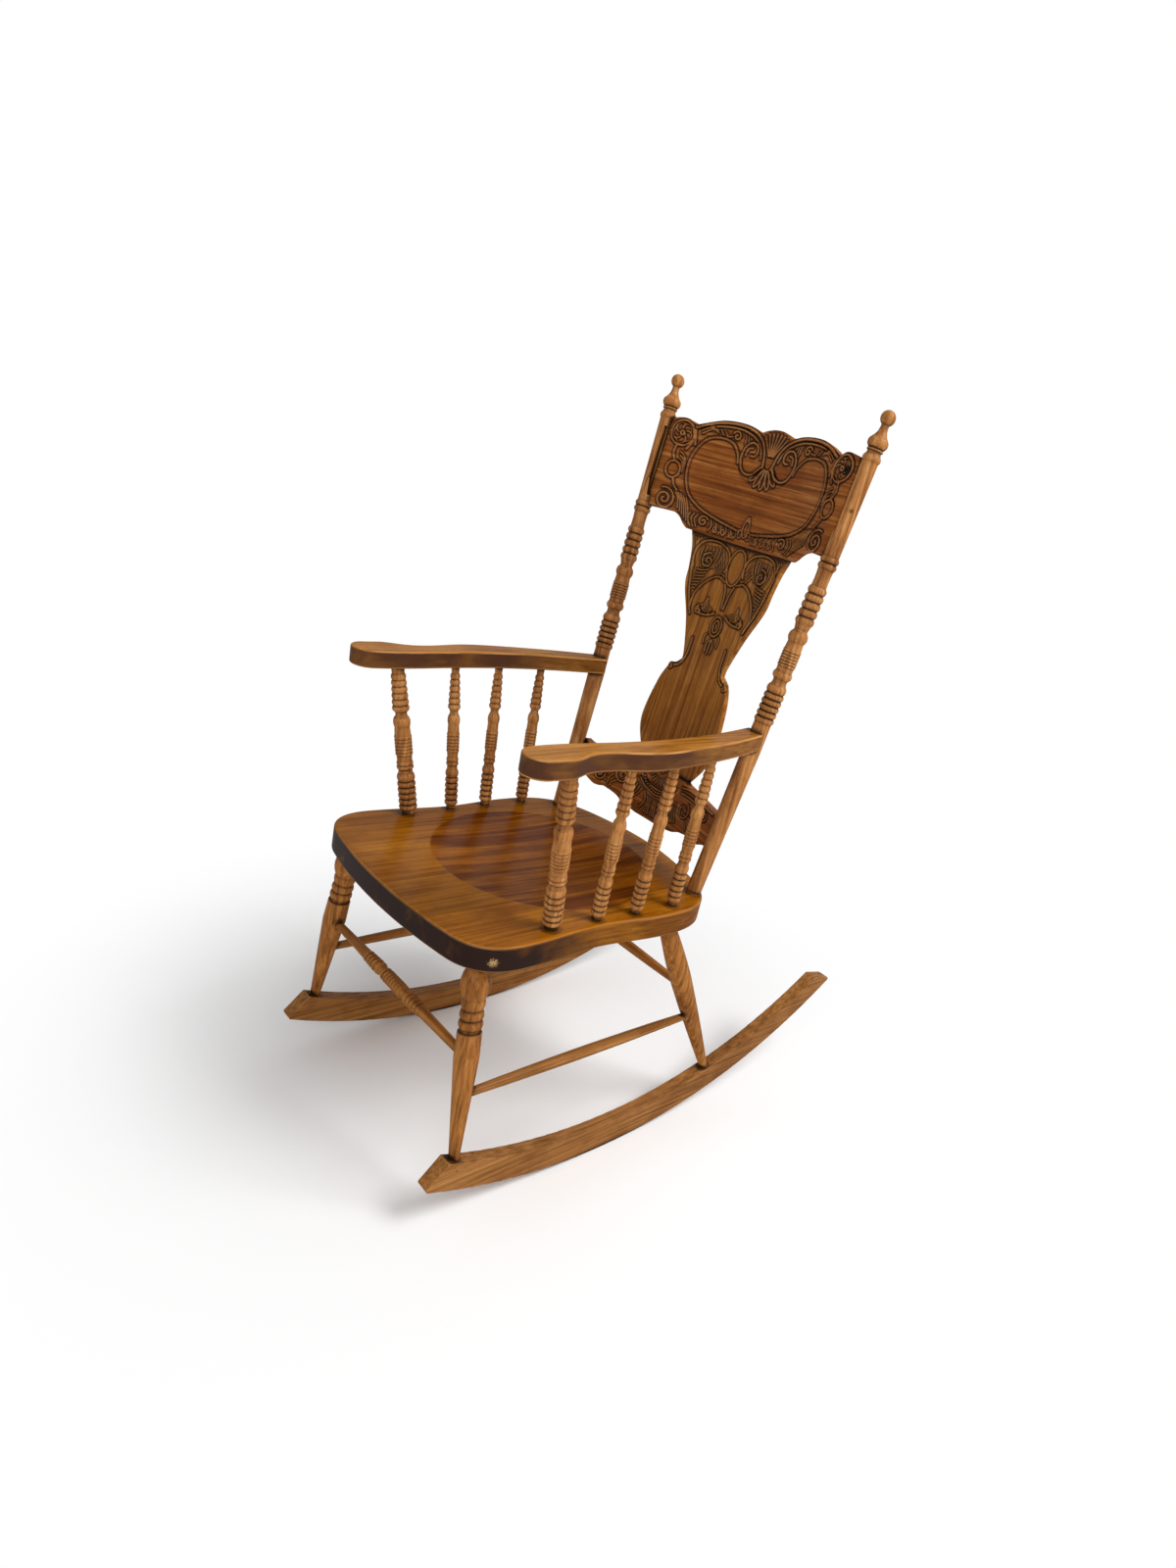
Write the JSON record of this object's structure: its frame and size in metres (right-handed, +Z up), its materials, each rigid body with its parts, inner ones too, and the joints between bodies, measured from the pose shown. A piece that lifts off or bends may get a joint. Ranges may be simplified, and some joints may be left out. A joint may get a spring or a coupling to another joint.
{
  "type": "rocking chair",
  "caption": "Tall-backed wooden armed rocking chair with turned posts and spindles, a carved bowed back and a dished plank seat on curved rockers.",
  "frame": {"origin": "on the floor, below the middle of the chair's bounding box", "axes": "+X to the sitter's left, +Y to the chair's back, +Z up"},
  "size_m": [0.4666, 0.842, 1.1392],
  "materials": {
    "seat_wood": "satin",
    "carved_wood": "satin",
    "rocker_wood": "satin",
    "arm_wood": "satin",
    "turned_wood": "satin",
    "old_steel": "dull"
  },
  "bodies": {
    "root": {"arm_left": "arm_wood", "arm_post_left": "turned_wood", "arm_post_right": "turned_wood", "arm_right": "arm_wood", "arm_screws": "old_steel", "arm_spindle_left_1": "turned_wood", "arm_spindle_left_2": "turned_wood", "arm_spindle_left_3": "turned_wood", "arm_spindle_right_1": "turned_wood", "arm_spindle_right_2": "turned_wood", "arm_spindle_right_3": "turned_wood", "back_post_left": "turned_wood", "back_post_right": "turned_wood", "crest_rail": "carved_wood", "front_leg_left": "turned_wood", "front_leg_right": "turned_wood", "front_stretcher": "turned_wood", "lower_back_rail": "carved_wood", "rear_leg_left": "turned_wood", "rear_leg_right": "turned_wood", "rear_stretcher": "turned_wood", "rocker_left": "rocker_wood", "rocker_nails": "old_steel", "rocker_right": "rocker_wood", "seat_board_1": "seat_wood", "seat_board_2": "seat_wood", "seat_board_3": "seat_wood", "seat_board_4": "seat_wood", "side_stretcher_left": "turned_wood", "side_stretcher_right": "turned_wood", "splat": "carved_wood"}
  },
  "joints": []
}
